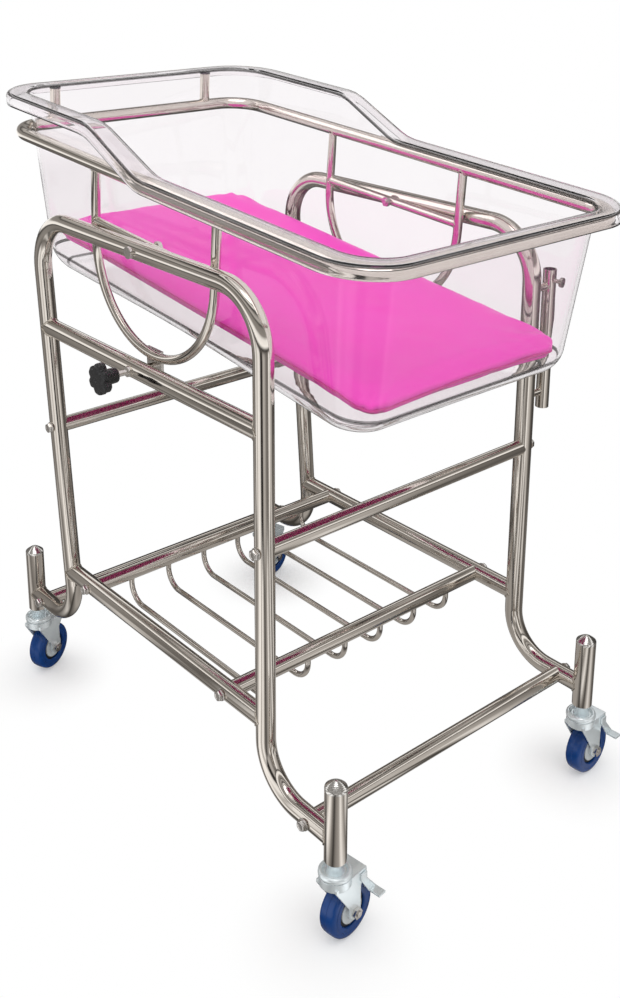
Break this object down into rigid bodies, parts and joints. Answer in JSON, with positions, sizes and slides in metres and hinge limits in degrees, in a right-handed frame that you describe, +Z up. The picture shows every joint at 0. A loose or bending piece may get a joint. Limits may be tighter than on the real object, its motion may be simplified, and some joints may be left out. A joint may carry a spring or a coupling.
{
  "type": "hospital bassinet",
  "caption": "Clear tub with a pink mattress, hung in a tilting tube ring on a wheeled tube trolley with a rod basket.",
  "frame": {"origin": "on the floor under the middle of the trolley", "axes": "+X from the head end to the foot end, +Y from the near side to the far side, +Z up"},
  "size_m": [0.8085, 0.5907, 0.9573],
  "materials": {
    "stainless_tube": "polished",
    "bolt_steel": "satin",
    "zinc_plate": "satin",
    "tyre_blue": "satin",
    "hub_grey": "satin",
    "knob_black": "satin",
    "cap_grey": "satin",
    "clear_acrylic": "gloss",
    "pink_vinyl": "satin"
  },
  "bodies": {
    "trolley": {"base_foot_bar": "stainless_tube", "base_head_bar": "stainless_tube", "basket_rods": "stainless_tube", "caster_post_foot_far": "stainless_tube", "caster_post_foot_near": "stainless_tube", "caster_post_head_far": "stainless_tube", "caster_post_head_near": "stainless_tube", "caster_stems": "zinc_plate", "frame_bolts": "bolt_steel", "lock_boss": "bolt_steel", "lower_rail_far": "stainless_tube", "lower_rail_near": "stainless_tube", "middle_rail_far": "stainless_tube", "middle_rail_near": "stainless_tube", "pivot_bolts": "bolt_steel", "pivot_nuts": "bolt_steel", "pivot_spacers": "bolt_steel", "pole_socket": "stainless_tube", "post_caps": "stainless_tube", "shelf_foot_bar": "stainless_tube", "shelf_head_bar": "stainless_tube", "side_frame_far": "stainless_tube", "side_frame_near": "stainless_tube", "socket_stubs": "stainless_tube", "upper_foot_bar": "stainless_tube", "upper_head_bar": "stainless_tube"},
    "cradle": {"tub_ring": "stainless_tube", "rocker_loop_near": "stainless_tube", "rocker_loop_far": "stainless_tube", "rocker_bar_near": "stainless_tube", "rocker_bar_far": "stainless_tube", "head_post_near": "stainless_tube", "head_post_far": "stainless_tube", "head_post_caps": "cap_grey"},
    "tub": {"tub": "clear_acrylic"},
    "mattress": {"mattress": "pink_vinyl"},
    "fork_head_near": {"caster_fork_head_near": "zinc_plate", "axle_bolt_head_near": "zinc_plate"},
    "wheel_head_near": {"tyre_head_near": "tyre_blue", "wheel_hub_head_near": "hub_grey"},
    "fork_head_far": {"caster_fork_head_far": "zinc_plate", "axle_bolt_head_far": "zinc_plate"},
    "wheel_head_far": {"tyre_head_far": "tyre_blue", "wheel_hub_head_far": "hub_grey"},
    "fork_foot_near": {"caster_fork_foot_near": "zinc_plate", "axle_bolt_foot_near": "zinc_plate"},
    "wheel_foot_near": {"tyre_foot_near": "tyre_blue", "wheel_hub_foot_near": "hub_grey"},
    "fork_foot_far": {"caster_fork_foot_far": "zinc_plate", "axle_bolt_foot_far": "zinc_plate"},
    "wheel_foot_far": {"tyre_foot_far": "tyre_blue", "wheel_hub_foot_far": "hub_grey"},
    "pedal_foot_near": {"brake_pedal_foot_near": "zinc_plate"},
    "pedal_foot_far": {"brake_pedal_foot_far": "zinc_plate"},
    "lock_knob": {"lock_knob": "knob_black", "lock_screw": "bolt_steel"},
    "clamp_shoe": {"clamp_shoe": "bolt_steel"},
    "thumb_screw": {"socket_thumb_screw": "bolt_steel"}
  },
  "joints": [
    {"name": "cradle_tilt", "type": "hinge", "parent": "trolley", "child": "cradle", "pos_m": [-0.024, 0, 0.786], "axis": [0, 1, 0], "range_deg": [-16, 8]},
    {"name": "tub_lift", "type": "slide", "parent": "cradle", "child": "tub", "axis": [0.075, 0, 0.9972], "range_m": [0, 0.35]},
    {"name": "mattress_lift", "type": "slide", "parent": "tub", "child": "mattress", "axis": [0.075, 0, 0.9972], "range_m": [0, 0.3]},
    {"name": "swivel_head_near", "type": "hinge", "parent": "trolley", "child": "fork_head_near", "pos_m": [-0.362, -0.235, 0.1], "axis": [0, 0, 1], "continuous": true},
    {"name": "spin_head_near", "type": "hinge", "parent": "fork_head_near", "child": "wheel_head_near", "pos_m": [-0.36965, -0.21652, 0.0375], "axis": [-0.9239, -0.3827, 0], "continuous": true},
    {"name": "swivel_head_far", "type": "hinge", "parent": "trolley", "child": "fork_head_far", "pos_m": [-0.362, 0.235, 0.1], "axis": [0, 0, 1], "continuous": true},
    {"name": "spin_head_far", "type": "hinge", "parent": "fork_head_far", "child": "wheel_head_far", "pos_m": [-0.36684, 0.25441, 0.0375], "axis": [-0.9703, -0.2419, 0], "continuous": true},
    {"name": "swivel_foot_near", "type": "hinge", "parent": "trolley", "child": "fork_foot_near", "pos_m": [0.362, -0.235, 0.1], "axis": [0, 0, 1], "continuous": true},
    {"name": "spin_foot_near", "type": "hinge", "parent": "fork_foot_near", "child": "wheel_foot_near", "pos_m": [0.35922, -0.21519, 0.0375], "axis": [-0.9903, -0.1392, 0], "continuous": true},
    {"name": "brake_foot_near", "type": "hinge", "parent": "fork_foot_near", "child": "pedal_foot_near", "pos_m": [0.35741, -0.20232, 0.0815], "axis": [-0.9903, -0.1392, 0], "range_deg": [0, 18]},
    {"name": "swivel_foot_far", "type": "hinge", "parent": "trolley", "child": "fork_foot_far", "pos_m": [0.362, 0.235, 0.1], "axis": [0, 0, 1], "continuous": true},
    {"name": "spin_foot_far", "type": "hinge", "parent": "fork_foot_far", "child": "wheel_foot_far", "pos_m": [0.36061, 0.25495, 0.0375], "axis": [-0.9976, -0.0698, 0], "continuous": true},
    {"name": "brake_foot_far", "type": "hinge", "parent": "fork_foot_far", "child": "pedal_foot_far", "pos_m": [0.3597, 0.26792, 0.0815], "axis": [-0.9976, -0.0698, 0], "range_deg": [0, 18]},
    {"name": "knob_turn", "type": "hinge", "parent": "trolley", "child": "lock_knob", "pos_m": [-0.038, -0.26, 0.6215], "axis": [0, -1, 0], "range_deg": [0, 720]},
    {"name": "shoe_travel", "type": "slide", "parent": "trolley", "child": "clamp_shoe", "axis": [0, 1, 0], "range_m": [0, 0.0025]},
    {"name": "thumb_screw_turn", "type": "hinge", "parent": "trolley", "child": "thumb_screw", "pos_m": [0.245, 0.273, 0.711], "axis": [1, 0, 0], "range_deg": [0, 720]}
  ],
  "couplings": [
    {"joint": "shoe_travel", "follows": "knob_turn", "m_per_rad": 0.00019894}
  ]
}
